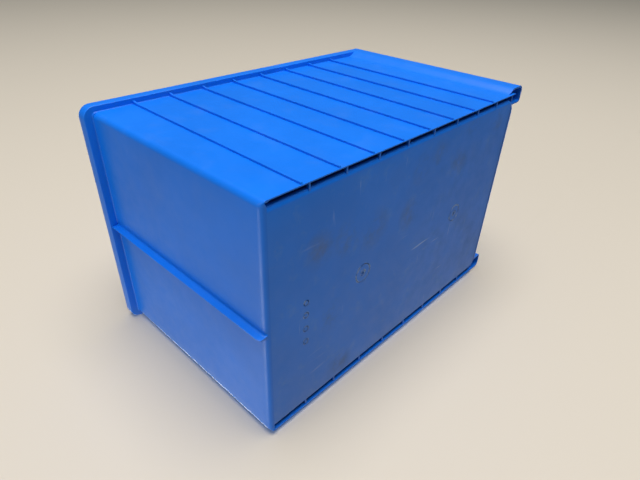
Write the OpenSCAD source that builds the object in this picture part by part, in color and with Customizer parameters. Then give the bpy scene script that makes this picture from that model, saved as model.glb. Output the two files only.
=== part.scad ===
// Open-front stacking bin, moulded in one piece, drawn as its separate walls, ribs and rim parts.
// Millimetres. Z is up, the pick opening faces -Y, and the origin is under the middle of the bin.

/* [Body] */
// Height over the stacking rim
body_h = 304; // [240:1:360]
// Width over the two side walls
body_w = 298; // [240:1:360]
// Length over the back rim and the front columns
overall_l = 493; // [460:1:600]
// Length of the foot that nests in the bin below
foot_l = 453; // [400:1:460]
// Thickness of every wall
wall_t = 2.5; // [2:0.1:3]
// Thickness of the floor
floor_t = 3; // [2:0.1:4]
// Outer radius of the upright back corners
corner_r = 7; // [6:0.5:14]
// How far the top of the back wall leans out
back_lean = 4.5; // [2:0.5:10]

/* [Stacking rim] */
// Height of the rim border, from the underside of its ledge
rim_h = 14; // [9:0.5:18]
// How far the rim stands out from the side walls
rim_out = 7; // [6:0.5:12]
// How far the rim stands out from the back wall
back_rim_out = 10; // [7:0.5:12]

/* [Foot] */
// Width of the slot between the floor and each skirt
slot_w = 4; // [3:0.5:6]
// Thickness of each skirt at its lower edge
skirt_t = 1.2; // [1:0.1:2.5]
// Height of the slot, from the foot to the ledge inside
slot_h = 24; // [12:1:26]
// Radius of the rounded edges of the floor
floor_r = 6; // [4:0.5:8]

/* [Ribs] */
// Number of ribs on each side wall
rib_n = 8; // [4:1:8]
// Distance between side ribs
rib_pitch = 49; // [30:0.5:52]
// Distance from the back of the foot to the first rib
rib_start = 46.5; // [30:0.5:60]
// Thickness of a side rib
rib_t = 2.2; // [1.5:0.1:3]
// Depth of a side rib along the wall
rib_d = 2.6; // [2:0.1:4]
// Depth of the tip of a side rib where it meets the rim
rib_tip_d = 3.9; // [3:0.1:6]
// Depth of a side rib at its lower end
rib_foot_d = 2; // [0.4:0.1:2.6]
// Height of the lower end of a side rib
rib_foot_z = 0.5; // [0:0.5:12]
// Depth of the rib down the middle of the back wall
back_rib_d = 8; // [5:0.5:10]
// Thickness of the back rib
back_rib_t = 2.4; // [2:0.1:3.5]
// Distance between slot webs
web_pitch = 49.5; // [30:0.5:52]
// Distance from the back of the foot to the first slot web
web_start = 56; // [30:1:60]

/* [Front] */
// Width of each front column, seen from the front
column_w = 24; // [18:1:40]
// Radius of the column's outer front edge
column_r = 9; // [6:0.5:12]
// Radius of the column's inner front edge
column_inner_r = 5; // [4:0.5:8]
// How far behind the front wall the column begins on the side wall
column_lead = 12; // [8:1:20]
// Height of the closed part of the front
front_h = 120; // [80:1:160]
// How far the top of the front wall leans out
front_lean = 14; // [4:0.5:16]
// How far the front lip reaches out
lip_out = 11; // [8:0.5:12]
// Width of the label holder
label_w = 150; // [90:1:200]
// Height of the label holder
label_h = 52; // [30:1:60]

/* [Hidden] */
$fn = 48;

blue = [0.02, 0.40, 0.90];
blue_deep = [0.02, 0.32, 0.78];
blue_base = [0.10, 0.32, 0.66];

half_w = body_w / 2;
ledge_z = body_h - rim_h;
lean_slope = back_lean / body_h;
lean_angle = atan(lean_slope);
// Back face of the foot, front edge of the foot, and front face of the columns
back_y = overall_l / 2 - back_lean - back_rim_out;
foot_y = back_y - foot_l;
front_y = -overall_l / 2;
// Half widths, from the floor outwards
inner_x = half_w - wall_t;
panel_x = inner_x - slot_w;
rim_x = half_w + rim_out;
column_x = rim_x - column_w;
rim_back_y = back_y + back_lean + back_rim_out;
// How much deeper the ledge is at the back than along the sides
back_extra = back_rim_out - rim_out;
rim_r = corner_r + rim_out;
// Where the column leaves the side wall, and where it reaches its full width
flare_y = foot_y + column_lead;
full_y = foot_y + column_lead - rim_out;
// Lower end of a slot web
web_foot_z = floor_r * (1 - sin(60));
// Extra length used only by cutting shapes
cut = 1;

// Positions of a rib and a web, the inner face of a skirt and the outer face of the front wall at height z
function rib_y(i) = back_y - rib_start - (i - 1) * rib_pitch;
function web_y(i) = back_y - web_start - (i - 1) * web_pitch;
function skirt_x(z) = half_w - skirt_t - (wall_t - skirt_t) * z / (slot_h - wall_t);
function front_face_y(z) = foot_y - front_lean * (z - floor_t) / (front_h - floor_t);
// Points along an arc from angle a0 to angle a1
function arc(x, y, r, a0, a1) = [for (k = [0:6]) let (a = a0 + (a1 - a0) * k / 6) [x + r * cos(a), y + r * sin(a)]];

// Gives a shape drawn on the left, at +X, or its mirror image on the right
module on_side(s) {
    if (s > 0) children();
    else mirror([1, 0, 0]) children();
}

// Runs a section drawn in X and Z along Y, from y0 to y1
module along_y(y0, y1) {
    translate([0, y1, 0])
        rotate([90, 0, 0])
            linear_extrude(height = y1 - y0) children();
}

// Runs an outline drawn in Y and Z along X, from x0 to x1
module along_x(x0, x1) {
    translate([x0, 0, 0])
        rotate([90, 0, 90])
            linear_extrude(height = x1 - x0) children();
}

// Tips a shape back with the back wall
module tipped() {
    translate([0, back_y, 0])
        rotate([-lean_angle, 0, 0])
            translate([0, -back_y, 0]) children();
}

// Flat floor with rounded long edges that turn up into the toe walls
module floor_panel() {
    flat_x = panel_x - floor_r;
    color(blue_base)
        along_y(foot_y, back_y - floor_r)
            polygon(concat(
                arc(-flat_x, floor_r, floor_r, 180, 270),
                arc(flat_x, floor_r, floor_r, 270, 360),
                arc(flat_x, floor_r, floor_r - floor_t, 360, 270),
                arc(-flat_x, floor_r, floor_r - floor_t, 270, 180)));
}

// Upright inner wall of the slot, with the shelf that joins it to the side wall
module toe_wall(s) {
    color(blue) on_side(s)
        along_y(foot_y + wall_t, back_y - floor_r)
            polygon([[panel_x - floor_t, floor_r], [panel_x, floor_r], [panel_x, slot_h - wall_t],
                     [inner_x, slot_h - wall_t], [inner_x, slot_h], [panel_x - floor_t, slot_h]]);
}

// Lower edge of the side wall, which hangs outside the slot and thins towards the foot
module skirt(s) {
    color(blue) on_side(s) intersection() {
        along_x(inner_x, half_w)
            polygon([[foot_y, 0], [back_y - corner_r, 0],
                     [back_y - corner_r + lean_slope * slot_h, slot_h], [foot_y, slot_h]]);
        along_y(foot_y, back_y)
            polygon([[half_w, 0], [skirt_x(0), 0], [inner_x, slot_h - wall_t], [inner_x, slot_h],
                     [half_w, slot_h]]);
    }
}

// Small webs that bridge the slot between the floor and the skirt
module slot_webs(s) {
    color(blue) on_side(s)
        for (i = [1:rib_n])
            along_y(web_y(i) - rib_t / 2, web_y(i) + rib_t / 2)
                polygon(concat(
                    arc(panel_x - floor_r, floor_r, floor_r + 0.05, 0, -60),
                    [[skirt_x(web_foot_z), web_foot_z], [inner_x, slot_h - wall_t], [panel_x, slot_h - wall_t]]));
}

module side_wall(s) {
    color(blue) on_side(s)
        along_x(inner_x, half_w)
            polygon([[foot_y, slot_h], [back_y - corner_r + lean_slope * slot_h, slot_h],
                     [back_y - corner_r + lean_slope * ledge_z, ledge_z], [foot_y, ledge_z]]);
}

// Leaning back wall with a rounded edge that turns under into the floor
module back_wall() {
    color(blue)
        along_x(-half_w + corner_r, half_w - corner_r)
            polygon(concat(
                arc(back_y - floor_r, floor_r, floor_r, 270, 360),
                [[back_y + lean_slope * ledge_z, ledge_z], [back_y - wall_t + lean_slope * ledge_z, ledge_z]],
                arc(back_y - floor_r, floor_r, floor_r - floor_t, 360, 270)));
}

// Upright rounded corner, tipped with the back wall and cut level at foot and rim
module back_corner(s) {
    color(blue) on_side(s) difference() {
        tipped() translate([half_w - corner_r, back_y - corner_r, -cut])
            difference() {
                intersection() {
                    cylinder(h = body_h, r = corner_r);
                    translate([0, 0, -cut]) cube([corner_r, corner_r, body_h + 2 * cut]);
                }
                translate([0, 0, -cut]) cylinder(h = body_h + 2 * cut, r = corner_r - wall_t);
            }
        translate([half_w - 2 * corner_r, back_y - 2 * corner_r, ledge_z]) cube(4 * corner_r);
        translate([half_w - 2 * corner_r, back_y - 2 * corner_r, -4 * corner_r]) cube(4 * corner_r);
    }
}

// Deep thin rib down the middle of the back wall
module back_rib() {
    color(blue)
        along_x(-back_rib_t / 2, back_rib_t / 2)
            polygon([[back_y + lean_slope * floor_r, floor_r],
                     [back_y + back_rib_d - 3, floor_r],
                     [back_y + back_rib_d, floor_r + 3],
                     [back_y + back_lean + back_rib_d, ledge_z],
                     [back_y + lean_slope * ledge_z, ledge_z]]);
}

module front_wall() {
    color(blue)
        along_x(-column_x, column_x)
            polygon([[foot_y + wall_t, floor_t], [foot_y, floor_t],
                     [front_face_y(front_h), front_h], [front_face_y(front_h) + wall_t, front_h]]);
}

// Rolled lip along the top of the closed front
module front_lip() {
    lip_y = front_face_y(front_h);
    color(blue)
        along_x(-column_x, column_x)
            polygon([[lip_y + wall_t, front_h], [lip_y + wall_t, front_h + wall_t],
                     [lip_y - lip_out, front_h + wall_t], [lip_y - lip_out, front_h - 6],
                     [lip_y - lip_out + wall_t, front_h - 6], [lip_y - lip_out + wall_t, front_h]]);
}

// Three-sided channel that holds a paper label against the front wall
module label_holder() {
    label_z = (front_h - label_h) / 2;
    grip_t = 1.8;
    grip_d = 5;
    side_h = label_h - grip_t - grip_d;
    color(blue_deep)
        translate([0, front_face_y(label_z), label_z])
            rotate([atan(front_lean / (front_h - floor_t)), 0, 0]) {
                translate([-label_w / 2, -grip_d, 0]) cube([label_w, grip_d, grip_t]);
                translate([-label_w / 2, -grip_d, grip_t]) cube([label_w, grip_t, grip_d]);
                for (m = [0, 1]) mirror([m, 0, 0]) {
                    translate([label_w / 2 - grip_t, -grip_d, grip_t + grip_d]) cube([grip_t, grip_d, side_h]);
                    translate([label_w / 2 - grip_t - grip_d, -grip_d, grip_t + grip_d])
                        cube([grip_d, grip_t, side_h]);
                }
            }
}

// Hollow upright at each side of the pick opening, open underneath and closed by the ledge
module front_column(s) {
    outer_cx = rim_x - column_r;
    inner_cx = column_x + column_inner_r;
    color(blue) on_side(s) {
        translate([0, 0, floor_t]) linear_extrude(height = ledge_z - floor_t) difference() {
            polygon(concat(
                [[inner_x, foot_y], [half_w, foot_y], [half_w, flare_y], [rim_x, full_y]],
                arc(outer_cx, front_y + column_r, column_r, 0, -90),
                arc(inner_cx, front_y + column_inner_r, column_inner_r, 270, 180),
                [[column_x, foot_y + wall_t], [inner_x, foot_y + wall_t]]));
            polygon(concat(
                [[half_w - cut, foot_y], [half_w - cut, flare_y - 3.5], [half_w, flare_y - 3.5],
                 [rim_x - wall_t, full_y - 1]],
                arc(outer_cx, front_y + column_r, column_r - wall_t, 0, -90),
                arc(inner_cx, front_y + column_inner_r, column_inner_r - wall_t, 270, 180),
                [[column_x + wall_t, foot_y]]));
        }
        translate([0, 0, ledge_z]) linear_extrude(height = wall_t)
            polygon(concat(
                [[inner_x, full_y], [rim_x, full_y]],
                arc(outer_cx, front_y + column_r, column_r, 0, -90),
                arc(inner_cx, front_y + column_inner_r, column_inner_r, 270, 180),
                [[column_x, foot_y + wall_t], [inner_x, foot_y + wall_t]]));
    }
}

// Border that runs round the outside and front of a column's top
module front_border(s) {
    outer_cx = rim_x - column_r;
    color(blue) on_side(s)
        translate([0, 0, ledge_z + wall_t])
            linear_extrude(height = rim_h - wall_t)
                polygon(concat(
                    [[rim_x, full_y]],
                    arc(outer_cx, front_y + column_r, column_r, 0, -90),
                    [[column_x + column_inner_r, front_y], [column_x + column_inner_r, front_y + wall_t]],
                    arc(outer_cx, front_y + column_r, column_r - wall_t, -90, 0),
                    [[rim_x - wall_t, full_y]]));
}

// Sections of the rim's ledge and border, measured outwards from the inner face of the wall
module ledge_section(extra = 0) {
    translate([-extra, ledge_z]) square([wall_t + rim_out + extra, wall_t]);
}

module border_section() {
    translate([rim_out, ledge_z + wall_t]) square([wall_t, rim_h - wall_t]);
}

// Places a rim section along a side, along the back, or round a back corner
module rim_side(s) {
    color(blue) on_side(s)
        along_y(full_y, rim_back_y - rim_r)
            translate([inner_x, 0]) children();
}

module rim_back() {
    color(blue)
        translate([0, rim_back_y - rim_out - wall_t, 0])
            along_x(-half_w + corner_r, half_w - corner_r) children();
}

module rim_corner(s) {
    color(blue) on_side(s)
        translate([half_w - corner_r, rim_back_y - rim_r, 0])
            rotate_extrude(angle = 90)
                translate([corner_r - wall_t, 0]) children();
}

// Side rib with a deeper tip under the rim, a little shallower near the foot
module side_rib(s, i) {
    color(blue) on_side(s)
        along_y(rib_y(i) - rib_t / 2, rib_y(i) + rib_t / 2)
            polygon([[half_w, rib_foot_z], [half_w + rib_foot_d, rib_foot_z + 1],
                     [half_w + rib_d, ledge_z - 8], [half_w + rib_tip_d, ledge_z - 2.5],
                     [half_w + rib_tip_d, ledge_z], [half_w, ledge_z]]);
}

floor_panel();
toe_wall(1);  // left_toe_wall
toe_wall(-1);  // right_toe_wall
skirt(1);  // left_skirt
skirt(-1);  // right_skirt
slot_webs(1);  // left_slot_webs
slot_webs(-1);  // right_slot_webs
side_wall(1);  // left_side_wall
side_wall(-1);  // right_side_wall
back_wall();
back_corner(1);  // left_back_corner
back_corner(-1);  // right_back_corner
back_rib();
front_wall();
front_lip();
label_holder();
front_column(1);  // left_front_column
front_column(-1);  // right_front_column
rim_back() ledge_section(back_extra);  // back_ledge
rim_side(1) ledge_section();  // left_ledge
rim_side(-1) ledge_section();  // right_ledge
rim_corner(1) ledge_section(back_extra);  // left_corner_ledge
rim_corner(-1) ledge_section(back_extra);  // right_corner_ledge
rim_back() border_section();  // back_border
rim_side(1) border_section();  // left_border
rim_side(-1) border_section();  // right_border
rim_corner(1) border_section();  // left_corner_border
rim_corner(-1) border_section();  // right_corner_border
front_border(1);  // left_front_border
front_border(-1);  // right_front_border
for (i = [1:rib_n])
    side_rib(1, i);
for (i = [1:rib_n])
    side_rib(-1, i);
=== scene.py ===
import bpy, bmesh, math
from mathutils import Matrix, Vector


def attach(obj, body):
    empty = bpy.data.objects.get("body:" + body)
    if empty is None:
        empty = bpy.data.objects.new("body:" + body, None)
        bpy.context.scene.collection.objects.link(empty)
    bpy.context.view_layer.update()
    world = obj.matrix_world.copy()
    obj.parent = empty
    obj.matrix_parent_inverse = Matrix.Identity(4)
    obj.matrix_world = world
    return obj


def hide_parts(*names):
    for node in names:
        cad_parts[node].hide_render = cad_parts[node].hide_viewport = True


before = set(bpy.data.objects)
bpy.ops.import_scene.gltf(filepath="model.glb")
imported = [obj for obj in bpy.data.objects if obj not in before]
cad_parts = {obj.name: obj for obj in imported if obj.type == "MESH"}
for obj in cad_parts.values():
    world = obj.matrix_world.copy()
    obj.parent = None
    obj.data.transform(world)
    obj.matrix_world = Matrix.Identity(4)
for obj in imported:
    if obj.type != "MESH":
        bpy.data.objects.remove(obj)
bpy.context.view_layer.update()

# ---------------------------------------------------------------- sizes, in millimetres as in the CAD
MM = 0.001
# Walls, floor and the lower edge of the skirt
WALL, FLOOR, SKIRT_T = 2.5, 3.0, 1.2
# Overall length, height and foot length
OVERALL_L, TOP_Z, FOOT_L = 493.0, 304.0, 453.0
# Rim's overhang, width of a slot and width of a column
RIM_OUT, SLOT_W, COLUMN_W = 7.0, 4.0, 24.0
# Half widths: body, inside of the wall, rim, toe wall and inner side of the columns
HALF_W = 149.0
INNER_X, RIM_X = HALF_W - WALL, HALF_W + RIM_OUT
PANEL_X, COLUMN_X = INNER_X - SLOT_W, RIM_X - COLUMN_W
# Heights of the rim's ledge and of the shelf over the slot
LEDGE_Z, SLOT_Z = 290.0, 24.0
# Back wall, which leans out towards the top, and its rim
BACK_OUT, BACK_LEAN = 10.0, 4.5
RIM_Y = OVERALL_L / 2
BACK_Y = RIM_Y - BACK_OUT - BACK_LEAN
LEAN = BACK_LEAN / TOP_Z
# Front of the columns, front of the foot, and where a column starts to widen and is full
FRONT_Y = -OVERALL_L / 2
FOOT_Y = BACK_Y - FOOT_L
FLARE_Y, FULL_Y = FOOT_Y + 12.0, FOOT_Y + 5.0
# Radii: floor edges, back corners, nose of a column and its inner corner
FLOOR_R, CORNER_R, NOSE_R, HEEL_R = 6.0, 7.0, 9.0, 5.0
# Closed part of the front, and the rib on the back wall
FRONT_H, FRONT_LEAN, LIP = 120.0, 14.0, 11.0
RIB_T, RIB_D = 2.4, 8.0


# ---------------------------------------------------------------- mesh helpers
def new_object(name, data):
    obj = bpy.data.objects.new(name, data)
    bpy.context.scene.collection.objects.link(obj)
    return obj


def bevel_edges(obj, width, harden=False):
    mod = obj.modifiers.new("edge", "BEVEL")
    mod.width = width * MM
    mod.segments = 2
    mod.limit_method = "ANGLE"
    mod.angle_limit = math.radians(40)
    mod.harden_normals = harden


def shade_smooth(mesh, angle):
    """Smooth shading, except at edges sharper than angle, in degrees."""
    for poly in mesh.polygons:
        poly.use_smooth = True
    mesh.set_sharp_from_angle(angle=math.radians(angle))


def finish_mesh(bm, name, smooth_angle=35.0, bevel=0.0):
    """Turns a bmesh in millimetres into an object in metres."""
    bmesh.ops.remove_doubles(bm, verts=bm.verts, dist=0.0005)
    bmesh.ops.recalc_face_normals(bm, faces=bm.faces)
    bmesh.ops.scale(bm, vec=(MM, MM, MM), verts=bm.verts)
    mesh = bpy.data.meshes.new(name)
    bm.to_mesh(mesh)
    bm.free()
    obj = new_object(name, mesh)
    if bevel:
        bevel_edges(obj, bevel, harden=True)
    shade_smooth(mesh, smooth_angle)
    return obj


def add_rings(bm, rings, skip=(), start="face", end="face"):
    """Joins closed rings of points with quads, leaving out the links in skip.

    An end is closed with one face, closed with a strip between the two halves of its ring,
    or left open with None."""
    made = [[bm.verts.new(p) for p in ring] for ring in rings]
    count = len(made[0])
    for a, b in zip(made, made[1:]):
        for k in range(count):
            if k not in skip:
                n = (k + 1) % count
                bm.faces.new((a[k], a[n], b[n], b[k]))
    for ring, kind in ((made[0][::-1], start), (made[-1], end)):
        if kind == "face":
            bm.faces.new(ring)
        elif kind == "strip":
            for k in range(count // 2 - 1):
                bm.faces.new((ring[k], ring[k + 1], ring[-k - 2], ring[-k - 1]))


def arc(cx, cy, r, a0, a1, n=8):
    """Points along an arc from angle a0 to a1, in degrees."""
    return [(cx + r * math.cos(math.radians(a0 + (a1 - a0) * k / n)),
             cy + r * math.sin(math.radians(a0 + (a1 - a0) * k / n))) for k in range(n + 1)]


def spread(a, b, n):
    """Values from a to b in n equal steps."""
    return [a + (b - a) * k / n for k in range(n + 1)]


def thicken(path, t):
    """Closed outline of a line that is t thick, with half of it on each side."""
    left, right = [], []
    for k, (x, y) in enumerate(path):
        x0, y0 = path[max(k - 1, 0)]
        x1, y1 = path[min(k + 1, len(path) - 1)]
        d = math.hypot(x1 - x0, y1 - y0)
        nx, ny = -(y1 - y0) / d, (x1 - x0) / d
        left.append((x + nx * t / 2, y + ny * t / 2))
        right.append((x - nx * t / 2, y - ny * t / 2))
    return left + right[::-1]


def mirrored(bm):
    """Adds a copy of everything, mirrored in X."""
    copy = bmesh.ops.duplicate(bm, geom=bm.verts[:] + bm.edges[:] + bm.faces[:])["geom"]
    verts = [g for g in copy if isinstance(g, bmesh.types.BMVert)]
    faces = [g for g in copy if isinstance(g, bmesh.types.BMFace)]
    for v in verts:
        v.co.x = -v.co.x
    bmesh.ops.reverse_faces(bm, faces=faces)


# ---------------------------------------------------------------- materials
# Smudges on the underside of the foot: x, y and radius
SMUDGES = ((-70, 160, 26), (-64, 118, 30), (-58, 76, 30), (-104, -40, 32), (-84, -92, 30), (-104, -8, 24),
           (-126, -112, 24), (-124, -180, 26), (-50, 5, 26), (28, 140, 24), (120, 120, 26))
# Injection points, and the row of small moulded rings
GATES = ((-4.0, 88.0), (-5.0, -109.0))
ROW, ROW_Y = (-13.0, 3.5, 22.5, 41.0), 178.5
# Cut rings: outer radius, inner radius and depth
GATE_CUTS = ((12.5, 11.6, 0.16), (4.2, 3.4, 0.20), (1.6, 0.0, 0.30))
ROW_CUT = (3.8, 2.8, 0.22)
# Radii where pale wear sits on them
GATE_WEAR, ROW_WEAR = (12.0, 3.8, 0.6), 3.3
# Colours of the plastic, of what lies on it or is worn into it, and of the painted shade in the slots
BLUE_TONE, BASE_TONE = (0.001, 0.172, 0.80), (0.002, 0.190, 0.84)
DUST, SMUDGE, FILM = (0.30, 0.40, 0.55), (0.135, 0.155, 0.165), (0.20, 0.37, 0.56)
SCRATCH, WEAR, SLOT_SHADE = (0.60, 0.78, 0.88), (0.66, 0.84, 0.90), (0.002, 0.018, 0.075)


def node(tree, kind, **values):
    """Adds a shader node, setting each value on the input or property of that name."""
    n = tree.nodes.new(kind)
    for key, value in values.items():
        if key in n.inputs:
            n.inputs[key].default_value = value
        else:
            setattr(n, key, value)
    return n


def plastic(name, colour, marks=False, edge=None):
    """Blue moulded plastic: soft mottling, fine grain, handling scuffs and dust, and painted shade in the
    slots, all in object space.

    With edge, the long edges of the foot keep that clean colour, since they are not rubbed on the shelf."""
    mat = bpy.data.materials.new(name)
    mat.use_nodes = True
    t = mat.node_tree
    t.nodes.clear()
    out = node(t, "ShaderNodeOutputMaterial")
    bsdf = node(t, "ShaderNodeBsdfPrincipled", **{"IOR": 1.49, "Specular IOR Level": 0.42})
    t.links.new(bsdf.outputs["BSDF"], out.inputs["Surface"])
    coord = node(t, "ShaderNodeTexCoord")

    def noise(scale, detail=4.0, rough=0.55, stretch=None):
        source = coord.outputs["Object"]
        if stretch:
            m = node(t, "ShaderNodeMapping", Scale=stretch)
            t.links.new(source, m.inputs["Vector"])
            source = m.outputs["Vector"]
        n = node(t, "ShaderNodeTexNoise", Scale=scale, Detail=detail, Roughness=rough)
        t.links.new(source, n.inputs["Vector"])
        return n.outputs["Fac"]

    def ramp(source, a, b, lo=0.0, hi=1.0):
        m = node(t, "ShaderNodeMapRange", **{"From Min": a, "From Max": b, "To Min": lo, "To Max": hi})
        t.links.new(source, m.inputs["Value"])
        return m.outputs["Result"]

    def maths(op, a, b):
        m = node(t, "ShaderNodeMath", operation=op)
        for k, v in enumerate((a, b)):
            if isinstance(v, (int, float)):
                m.inputs[k].default_value = v
            else:
                t.links.new(v, m.inputs[k])
        return m.outputs[0]

    def away(x, y):
        """Distance from a point on the underside of the foot, given in millimetres."""
        d = node(t, "ShaderNodeVectorMath", operation="DISTANCE")
        d.inputs[1].default_value = (x * MM, y * MM, 0.0)
        t.links.new(coord.outputs["Object"], d.inputs[0])
        return d.outputs["Value"]

    def blob(x, y, r):
        """A soft spot of radius r, 1 in its middle and 0 outside."""
        return ramp(away(x, y), r * MM, r * MM * 0.2)

    def mix(fac, a, b):
        m = node(t, "ShaderNodeMix", data_type="RGBA")
        t.links.new(fac, m.inputs["Factor"])
        for socket, v in (("A", a), ("B", b)):
            pin = [i for i in m.inputs if i.name == socket and i.type == "RGBA"][0]
            if isinstance(v, tuple):
                pin.default_value = (*v, 1.0)
            else:
                t.links.new(v, pin)
        return [o for o in m.outputs if o.type == "RGBA"][0]

    dark = tuple(c * 0.90 for c in colour)
    shade = mix(ramp(noise(9.0, 3.0), 0.35, 0.65), dark, colour)
    dust = maths("MULTIPLY", ramp(noise(26.0, 6.0, 0.62), 0.52, 0.78), 0.05)
    shade = mix(dust, shade, DUST)
    rough = ramp(noise(60.0, 5.0, 0.6), 0.3, 0.7, 0.33, 0.45)
    if marks:
        # Grey-brown smudges where the foot rubs, soft patches broken up by noise
        patch = ramp(noise(3.1, 2.0), 0.48, 0.70, 0.0, 0.45)
        for place in SMUDGES:
            patch = maths("MAXIMUM", patch, blob(*place))
        smudge = maths("MULTIPLY", ramp(noise(15.0, 8.0, 0.70), 0.44, 0.66), patch)
        shade = mix(maths("MULTIPLY", smudge, 0.62), shade, SMUDGE)
        grey = maths("MULTIPLY", ramp(noise(34.0, 8.0, 0.7), 0.54, 0.74), 0.20)
        shade = mix(grey, shade, FILM)
        rough = maths("ADD", rough, maths("MULTIPLY", smudge, 0.18))
        # Fine scratches, thickest round the middle
        worn = maths("MAXIMUM", ramp(noise(7.0, 2.0), 0.52, 0.66), blob(-8.0, -12.0, 48.0))
        for stretch in ((1.0, 0.07, 1.0), (0.10, 1.0, 1.0)):
            scratch = maths("MULTIPLY", ramp(noise(130.0, 2.0, 0.5, stretch), 0.68, 0.73), worn)
            shade = mix(maths("MULTIPLY", scratch, 0.42), shade, SCRATCH)
        # Pale wear on the moulded rings
        pale = 0.0
        rings = [(x, y, r) for x, y in GATES for r in GATE_WEAR] + [(x, ROW_Y, ROW_WEAR) for x in ROW]
        for x, y, r in rings:
            off = maths("ABSOLUTE", maths("SUBTRACT", away(x, y), r * MM), 0.0)
            pale = maths("MAXIMUM", ramp(off, 0.0015, 0.0006), pale)
        pale = maths("MULTIPLY", pale, ramp(noise(160.0, 3.0), 0.42, 0.60))
        shade = mix(maths("MULTIPLY", pale, 0.62), shade, WEAR)
    split = node(t, "ShaderNodeSeparateXYZ")
    t.links.new(coord.outputs["Object"], split.inputs[0])
    across = maths("ABSOLUTE", split.outputs["X"], 0.0)
    along, height = split.outputs["Y"], split.outputs["Z"]
    if edge:
        shade = mix(ramp(across, (PANEL_X - 8.0) * MM, (PANEL_X - 4.0) * MM), shade, edge)
    # Painted shade inside the narrow slots of the foot, darkening them where little light gets in: where it
    # starts, and where it is full
    fades = ((across, PANEL_X - 1.0, PANEL_X - 0.1), (across, HALF_W - 1.0, HALF_W - 1.8),
             (height, 0.8, 4.5), (height, SLOT_Z + 0.5, SLOT_Z - 0.5),
             (along, BACK_Y - 8.5, BACK_Y - 14.0), (along, FOOT_Y + 1.0, FOOT_Y + 4.0))
    slot_shade = 1.0
    for source, none, full in fades:
        slot_shade = maths("MULTIPLY", slot_shade, ramp(source, none * MM, full * MM))
    # Painted shade: the slot colour darkens the inside of the slots
    shade = mix(maths("MULTIPLY", slot_shade, 0.80), shade, SLOT_SHADE)
    t.links.new(shade, bsdf.inputs["Base Color"])
    t.links.new(rough, bsdf.inputs["Roughness"])
    # Fine grain, then the slow waves of a large moulded wall
    grain, waves = noise(900.0, 2.0), noise(14.0, 1.0)
    fine = node(t, "ShaderNodeBump", Strength=0.10, Distance=0.0002)
    slow = node(t, "ShaderNodeBump", Strength=0.25, Distance=0.0015)
    t.links.new(grain, fine.inputs["Height"])
    t.links.new(waves, slow.inputs["Height"])
    t.links.new(fine.outputs["Normal"], slow.inputs["Normal"])
    t.links.new(slow.outputs["Normal"], bsdf.inputs["Normal"])
    return mat


BLUE = plastic("blue_plastic", BLUE_TONE)
BASE = plastic("blue_plastic_scuffed", BASE_TONE, marks=True, edge=BLUE_TONE)


def dress(obj, mat):
    obj.data.materials.clear()
    obj.data.materials.append(mat)


def add(obj, nodes, mat=BLUE):
    """Puts a finished piece in place of the CAD's nodes."""
    dress(obj, mat)
    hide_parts(*nodes)
    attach(obj, "root")
    return obj


# ---------------------------------------------------------------- tub: side walls, skirts and back wall
def tub_outline(z, inset, soften=0.0):
    """Half outline from the front of the left side wall to the middle of the back, at height z."""
    r = CORNER_R - inset + soften
    back = BACK_Y + LEAN * z - inset
    bend = FLOOR_R - inset
    h = FLOOR_R - z
    under = bend - math.sqrt(max(bend * bend - h * h, 0.0)) if h > 0 else 0.0
    cx, cy = HALF_W - CORNER_R - soften, back - r
    pts = [(HALF_W - inset, y) for y in spread(FOOT_Y, cy, 24)[:-1]]
    for k in range(13):
        a = math.radians(90.0 * k / 12)
        d = under * math.sin(a) ** 3
        pts.append((cx + (r - d * 0.2) * math.cos(a), cy + r * math.sin(a) - d))
    pts += [(x, back - under) for x in spread(cx, 0.0, 10)[1:]]
    return pts


def make_tub():
    bm = bmesh.new()
    outer_z = [0.0, 0.3, 1.0, 2.0, 3.0, 4.2, 6.0, 12.0, SLOT_Z] + spread(SLOT_Z, LEDGE_Z + 1.0, 12)[1:]
    turn = 24 + 5
    rings = []
    for z in outer_z:
        outer = [(x, y, z) for x, y in tub_outline(z, 0.0)]
        low = max(z, FLOOR)
        soften = 4.5 if z < SLOT_Z else 0.0
        thin = SKIRT_T + (WALL - SKIRT_T) * min(z / (SLOT_Z - WALL), 1.0)
        inner = [(min(x + WALL - thin, HALF_W - thin), y, z)
                 for x, y in tub_outline(max(z, FLOOR_R), WALL, soften)[:turn]]
        inner += [(x, y, low) for x, y in tub_outline(low, WALL, soften)[turn:]]
        rings.append(outer + inner[::-1])
    middle = len(rings[0]) // 2 - 1
    add_rings(bm, rings, skip=(middle,), start="strip", end="strip")
    mirrored(bm)
    return finish_mesh(bm, "tub")


add(make_tub(), ["left_side_wall", "right_side_wall", "left_skirt", "right_skirt",
                 "left_back_corner", "right_back_corner", "back_wall"])


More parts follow.
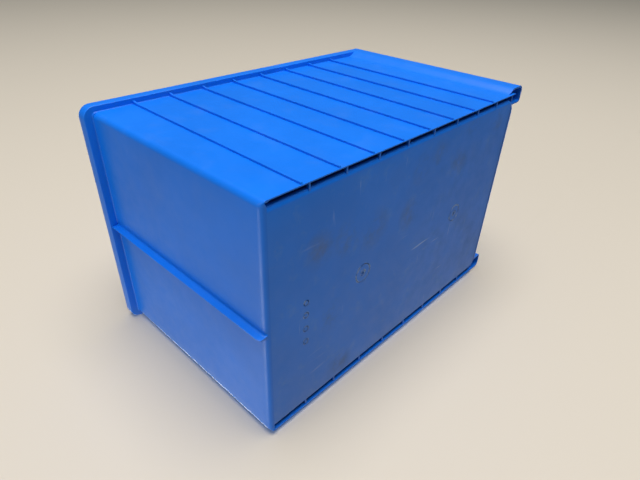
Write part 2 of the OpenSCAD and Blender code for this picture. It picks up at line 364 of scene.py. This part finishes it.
# ---------------------------------------------------------------- floor with its toe walls
def make_floor():
    bm = bmesh.new()

    def section(pull):
        """Half of the floor's profile, its edge drawn in by pull."""
        x = PANEL_X - FLOOR_R - pull
        low = [(px, 0.0) for px in spread(0.0, x, 6)[:-1]] + arc(x, FLOOR_R, FLOOR_R, 270, 360, 8)
        up = [(x + FLOOR_R, SLOT_Z - WALL), (INNER_X + 0.5, SLOT_Z - WALL), (INNER_X + 0.5, SLOT_Z),
              (x + FLOOR_R - FLOOR, SLOT_Z)]
        inside = arc(x, FLOOR_R, FLOOR_R - FLOOR, 360, 270, 6)
        inside += [(px, FLOOR) for px in spread(x, 0.0, 6)[1:]]
        return low + up + inside

    # The front corners are rounded in plan
    rings = []
    radius = 14.0
    for k in range(9):
        a = math.radians(90.0 * k / 8)
        y = FOOT_Y + 0.4 + radius * (1 - math.cos(a))
        pull = radius * (1 - math.sin(a))
        rings.append([(x, y, z) for x, z in section(pull)])
    last_y = BACK_Y - FLOOR_R - 1.0
    for y in spread(FOOT_Y + radius + 4, last_y, 20):
        rings.append([(x, y, z) for x, z in section(0.0)])
    # The slot's end: the floor's edge swings out to meet the inside of the back corner
    for k in range(1, 9):
        a = math.radians(90.0 * k / 8)
        out = 1.5 * (1 - math.cos(a))
        y = last_y + 4.0 * math.sin(a)
        ring = []
        for x, z in section(0.0):
            edge = PANEL_X - FLOOR_R - 1.0 < x < PANEL_X + 0.1
            flat = z < 0.2 or abs(z - FLOOR) < 0.2 and x < PANEL_X - FLOOR_R
            ring.append((x + (out if edge else 0.0), min(y, BACK_Y - FLOOR_R) if flat else y, z))
        rings.append(ring)
    add_rings(bm, rings, skip=(len(rings[0]) - 1,), start="strip", end="strip")
    mirrored(bm)
    return finish_mesh(bm, "floor")


def ring_cutter(bm, x, y, outer, inner, depth):
    """A flat ring, or a disc when inner is 0, that sinks depth into the underside of the floor."""
    profile = [(outer, -1.0), (outer, depth * 0.4), (outer - 0.3, depth)]
    if inner:
        profile += [(inner + 0.3, depth), (inner, depth * 0.4), (inner, -1.0)]
    else:
        profile += [(0.05, depth), (0.05, -1.0)]
    steps = 32
    loops = []
    for k in range(steps):
        a = 2 * math.pi * k / steps
        loops.append([bm.verts.new((x + r * math.cos(a), y + r * math.sin(a), z)) for r, z in profile])
    for k in range(steps):
        a, b = loops[k], loops[(k + 1) % steps]
        for m in range(len(profile)):
            n = (m + 1) % len(profile)
            bm.faces.new((a[m], b[m], b[n], a[n]))


def sink_marks(floor):
    """Cuts the moulded marks into the underside: two injection points in rings, and a row of rings."""
    bm = bmesh.new()
    for x, y in GATES:
        for cut in GATE_CUTS:
            ring_cutter(bm, x, y, *cut)
    for x in ROW:
        ring_cutter(bm, x, ROW_Y, *ROW_CUT)
    cutter = finish_mesh(bm, "cutter")
    mod = floor.modifiers.new("marks", "BOOLEAN")
    mod.object = cutter
    mod.solver = "EXACT"
    bpy.context.view_layer.update()
    cut = bpy.data.meshes.new_from_object(floor.evaluated_get(bpy.context.evaluated_depsgraph_get()))
    floor.modifiers.clear()
    floor.data = cut
    bpy.data.objects.remove(cutter)
    shade_smooth(cut, 30)
    return floor


add(sink_marks(make_floor()), ["floor_panel", "left_toe_wall", "right_toe_wall"], BASE)


# ---------------------------------------------------------------- rim: ledge, blend under it, and border
def rim_path(front):
    """Half way round the rim: points, outward directions and how far out the wall's outer face is."""
    reach = WALL + RIM_OUT
    cx, cy, r = HALF_W - CORNER_R, RIM_Y - CORNER_R - RIM_OUT, CORNER_R - WALL
    back_wall = BACK_Y + LEAN * LEDGE_Z - (RIM_Y - reach)
    path = [((INNER_X, y), (1.0, 0.0), WALL) for y in spread(front, cy, 24)[:-1]]
    for k in range(17):
        a = math.radians(90.0 * k / 16)
        s = math.sin(a) ** 2
        path.append(((cx + r * math.cos(a), cy + r * math.sin(a)), (math.cos(a), math.sin(a)),
                     WALL + (back_wall - WALL) * s))
    path += [((x, cy + r), (0.0, 1.0), back_wall) for x in spread(cx, 0.0, 8)[1:]]
    return path


def border_section(e=0.9):
    """The border's rounded outer bottom, outer top and inner top edges.

    Distances are outwards from the inside of the wall."""
    n0, n1 = RIM_OUT, WALL + RIM_OUT
    return (arc(n1 - e, LEDGE_Z + e, e, 270, 360, 4) + arc(n1 - e, TOP_Z - e, e, 0, 90, 4)
            + arc(n0 + e, TOP_Z - e, e, 90, 180, 4) + [(n0, LEDGE_Z + WALL)])


def make_rim():
    bm = bmesh.new()
    blend, drop = 1.1, 1.7
    rings = []
    for p, d, wall in rim_path(FULL_Y):
        section = [(wall - WALL + 0.2, LEDGE_Z - drop), (wall - 0.4, LEDGE_Z - drop)]
        section += [(wall + blend + x, LEDGE_Z - blend + y) for x, y in arc(0, 0, blend, 180, 90, 5)]
        section += border_section() + [(wall - WALL, LEDGE_Z + WALL)]
        rings.append([(p[0] + n * d[0], p[1] + n * d[1], z) for n, z in section])
    add_rings(bm, rings, end=None)
    mirrored(bm)
    return finish_mesh(bm, "rim")


def make_front_border(side):
    bm = bmesh.new()
    n1 = WALL + RIM_OUT
    section = border_section()
    cx, cy = RIM_X - NOSE_R, FRONT_Y + NOSE_R
    rings = [[(x, FRONT_Y + n1 - n, z) for n, z in section] for x in spread(COLUMN_X + 4.5, cx, 3)[:-1]]
    for k in range(13):
        a = math.radians(-90.0 + 90.0 * k / 12)
        rings.append([(cx + (NOSE_R - n1 + n) * math.cos(a), cy + (NOSE_R - n1 + n) * math.sin(a), z)
                      for n, z in section])
    rings.append([(INNER_X + n, FULL_Y, z) for n, z in section])
    add_rings(bm, rings)
    for v in bm.verts:
        v.co.x *= side
    return finish_mesh(bm, "front_border_left" if side > 0 else "front_border_right")


add(make_rim(), ["back_ledge", "left_ledge", "right_ledge", "left_corner_ledge", "right_corner_ledge",
                 "back_border", "left_border", "right_border", "left_corner_border", "right_corner_border"])
add(make_front_border(1), ["left_front_border"])
add(make_front_border(-1), ["right_front_border"])


# ---------------------------------------------------------------- front columns
def column_skin():
    """Middle line of a column's wall: it flares out, rounds the nose and turns back to the front wall."""
    half = WALL / 2
    path = []
    for s in spread(0.0, 1.0, 10):
        ease = 3 * s * s - 2 * s ** 3
        path.append((HALF_W - 1.0 + (RIM_OUT + 1.0 - half) * ease, FLARE_Y + 4.0 - 16.0 * s))
    path += arc(RIM_X - NOSE_R, FRONT_Y + NOSE_R, NOSE_R - half, 0, -90, 10)
    path += arc(COLUMN_X + HEEL_R, FRONT_Y + HEEL_R, HEEL_R - half, 270, 180, 8)
    path += [(COLUMN_X + half, y) for y in spread(FRONT_Y + 10.0, FOOT_Y + half, 3)]
    path += [(x, FOOT_Y + half) for x in (COLUMN_X + 6.0, INNER_X)]
    return path


def make_column(side):
    bm = bmesh.new()
    outline = thicken(column_skin(), WALL)
    heights = [FLOOR, FLOOR + 0.5] + spread(FLOOR, LEDGE_Z + 0.5, 8)[1:]
    rings = [[(x, y, z) for x, y in outline] for z in heights]
    add_rings(bm, rings, start="strip", end="strip")
    # Closed top, the next bin's ledge
    top = [(INNER_X, FULL_Y), (RIM_X - 1.0, FULL_Y)]
    top += arc(RIM_X - NOSE_R, FRONT_Y + NOSE_R, NOSE_R - 1.0, 0, -90, 8)
    top += arc(COLUMN_X + HEEL_R, FRONT_Y + HEEL_R, 4.2, 270, 180, 6)
    top += [(COLUMN_X + 0.8, FOOT_Y + WALL), (INNER_X, FOOT_Y + WALL)]
    add_rings(bm, [[(x, y, z) for x, y in top] for z in (LEDGE_Z + 0.2, LEDGE_Z + WALL)])
    if side < 0:
        for v in bm.verts:
            v.co.x = -v.co.x
    return finish_mesh(bm, "column_left" if side > 0 else "column_right", bevel=0.4)


add(make_column(1), ["left_front_column"])
add(make_column(-1), ["right_front_column"])


# ---------------------------------------------------------------- closed part of the front, with its lip
def make_front():
    bm = bmesh.new()
    half = WALL / 2
    toe_r = 4.5
    path = [(FOOT_Y + 6.0, half), (FOOT_Y + toe_r, half)]
    path += arc(FOOT_Y + toe_r, toe_r, toe_r - half, 270, 190, 6)
    top_y = FOOT_Y - FRONT_LEAN
    path += [(FOOT_Y + half + (top_y - FOOT_Y) * s, FLOOR + 3 + (FRONT_H - FLOOR - 6) * s)
             for s in spread(0.04, 1.0, 8)]
    path += arc(top_y - 3.0 + half, FRONT_H - 3.0 + half - 0.5, 3.0, 20, 90, 5)
    path += [(top_y - LIP + 4.0, FRONT_H + half - 0.5)]
    path += arc(top_y - LIP + 3.5, FRONT_H - 2.5, 2.2, 90, 180, 5)[1:]
    path += [(top_y - LIP + half, FRONT_H - 6.0)]
    outline = thicken(path, WALL)
    rings = [[(x, y, z) for y, z in outline] for x in spread(-COLUMN_X - 1.0, COLUMN_X + 1.0, 12)]
    add_rings(bm, rings, start="strip", end="strip")
    return finish_mesh(bm, "front_wall_and_lip", bevel=0.4)


add(make_front(), ["front_wall", "front_lip"])


# ---------------------------------------------------------------- rib down the middle of the back wall
def make_back_rib():
    bm = bmesh.new()
    half, blend = RIB_T / 2, 2.2
    # The lower end is rounded up to this height
    round_z = 7.0
    rings = []
    for z in [1.0, 1.3, 2.0, 3.2, 5.0, round_z] + spread(9.0, LEDGE_Z + 0.5, 14):
        # The face of the wall, which turns under towards the floor
        turn = max(FLOOR_R - z, 0.0)
        root = BACK_Y + LEAN * z - FLOOR_R + math.sqrt(FLOOR_R ** 2 - turn ** 2)
        wall = root - 0.6
        tip = BACK_Y + RIB_D + LEAN * z
        if z < round_z:
            tip -= 3.0 * (1 - math.sqrt(max(1 - ((round_z - z) / 6.1) ** 2, 0.0)))
        left = [(-half - blend - 0.3, wall)] + [(-half - blend + x, root + blend + y)
                                                for x, y in arc(0, 0, blend, 270, 360, 5)]
        cap = [(x, tip - 0.9 + y) for x, y in arc(0, 0, 1.0, 180, 0, 8)]
        left = [(x, min(y, tip - 1.0)) for x, y in left]
        right = [(-x, y) for x, y in left[::-1]]
        rings.append([(x, y, z) for x, y in left + cap + right])
    add_rings(bm, rings)
    return finish_mesh(bm, "back_rib_blade", smooth_angle=50)


add(make_back_rib(), ["back_rib"])

# ---------------------------------------------------------------- nodes kept from the CAD
for name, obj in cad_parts.items():
    side_rib = "_rib_" in name
    if side_rib or "webs" in name or name == "label_holder":
        dress(obj, BLUE)
        bevel_edges(obj, 0.35)


# ---------------------------------------------------------------- stage
def stage_material(name, colour):
    """Matt pale surface seen only from its front, so that it never hides the part."""
    mat = bpy.data.materials.new(name)
    mat.use_nodes = True
    t = mat.node_tree
    bsdf = t.nodes["Principled BSDF"]
    bsdf.inputs["Base Color"].default_value = (*colour, 1.0)
    bsdf.inputs["Roughness"].default_value = 0.7
    geo = node(t, "ShaderNodeNewGeometry")
    clear = node(t, "ShaderNodeBsdfTransparent")
    swap = node(t, "ShaderNodeMixShader")
    t.links.new(geo.outputs["Backfacing"], swap.inputs[0])
    t.links.new(bsdf.outputs["BSDF"], swap.inputs[1])
    t.links.new(clear.outputs["BSDF"], swap.inputs[2])
    t.links.new(swap.outputs["Shader"], t.nodes["Material Output"].inputs["Surface"])
    return mat


def stage_plane(name, centre, normal, colour, reach):
    mesh = bpy.data.meshes.new(name)
    bm = bmesh.new()
    bmesh.ops.create_grid(bm, x_segments=1, y_segments=1, size=reach)
    bm.to_mesh(mesh)
    bm.free()
    obj = new_object(name, mesh)
    turn = Vector(normal).to_track_quat("Z", "Y").to_matrix().to_4x4()
    obj.matrix_world = Matrix.Translation(centre) @ turn
    mesh.materials.append(stage_material(name, colour))
    obj.visible_diffuse = obj.visible_glossy = obj.visible_transmission = obj.visible_shadow = False


# The table that the bin lies on, and the floor under it when it stands, each just clear of it
GAP = 0.0003
stage_plane("table", (RIM_X * MM + GAP, 0, 0), (-1, 0, 0), (0.60, 0.53, 0.44), 7.0)
stage_plane("floor_stage", (0, 0, -GAP), (0, 0, 1), (0.60, 0.56, 0.50), 4.0)


def make_world(tones, strength):
    """Surroundings that change tone along X, from above the lying bin at -1 to under it at +1."""
    world = bpy.data.worlds.new("studio")
    bpy.context.scene.world = world
    world.use_nodes = True
    t = world.node_tree
    t.nodes.clear()
    out = node(t, "ShaderNodeOutputWorld")
    background = node(t, "ShaderNodeBackground", Strength=strength)
    coord = node(t, "ShaderNodeTexCoord")
    split = node(t, "ShaderNodeSeparateXYZ")
    blend = node(t, "ShaderNodeValToRGB")
    along = node(t, "ShaderNodeMapRange", **{"From Min": -1.0, "From Max": 1.0})
    t.links.new(coord.outputs["Generated"], split.inputs[0])
    t.links.new(split.outputs["X"], along.inputs["Value"])
    t.links.new(along.outputs["Result"], blend.inputs["Fac"])
    stops = blend.color_ramp.elements
    for place, tone in tones[1:-1]:
        stops.new(place)
    for stop, (place, tone) in zip(stops, tones):
        stop.position = place
        stop.color = (*tone, 1)
    t.links.new(blend.outputs["Color"], background.inputs["Color"])
    t.links.new(background.outputs["Background"], out.inputs["Surface"])


make_world([(0.0, (0.55, 0.58, 0.62)), (0.22, (0.12, 0.15, 0.14)), (0.50, (0.12, 0.15, 0.14)),
            (0.62, (0.30, 0.27, 0.22)), (0.80, (0.80, 0.72, 0.60)), (1.0, (0.90, 0.80, 0.66))], 0.75)


def area(name, place, target, size, power, colour=(1, 1, 1)):
    """A disc light that faces its target."""
    light = bpy.data.lights.new(name, "AREA")
    light.shape = "DISK"
    light.size = size
    light.energy = power
    light.color = colour
    obj = new_object(name, light)
    obj.location = place
    obj.rotation_euler = (Vector(target) - Vector(place)).to_track_quat("-Z", "Y").to_euler()
    obj.visible_camera = False


area("key", (-4.6, 0.2, -0.30), (0, 0, 0.12), 4.0, 270)
area("back_fill", (-0.9, 2.4, 0.5), (0, 0, 0.15), 1.4, 9, (0.92, 0.96, 1.0))
area("front_fill", (1.25, -2.2, 1.6), (0, 0, 0.15), 1.4, 24)
area("side_fill", (3.2, -0.4, 2.2), (0, 0, 0.15), 1.8, 75)
area("bounce", (0.40, 0.75, 0.10), (0.05, 0.2, 0.15), 0.5, 1.6, (1.0, 0.93, 0.82))

bpy.context.scene.view_settings.view_transform = "Standard"


# ---------------------------------------------------------------- camera
def make_camera(eye, look, roll, lens):
    """A camera lying over with the bin, so that -X, away from the table, is up in its picture."""
    look = Vector(look).normalized()
    right = look.cross(Vector((-1, 0, 0))).normalized()
    right.rotate(Matrix.Rotation(math.radians(roll), 3, look))
    up = right.cross(look)
    cam = bpy.data.cameras.new("camera")
    cam.sensor_width = 36.0
    cam.lens = lens
    cam.clip_start = 0.01
    obj = new_object("camera", cam)
    obj.matrix_world = Matrix.Translation(eye) @ Matrix((right, up, -look)).transposed().to_4x4()
    bpy.context.scene.camera = obj


make_camera((-0.3333, 0.4407, -0.2608), (0.5495, -0.6105, 0.5704), roll=-1.97, lens=26.88)
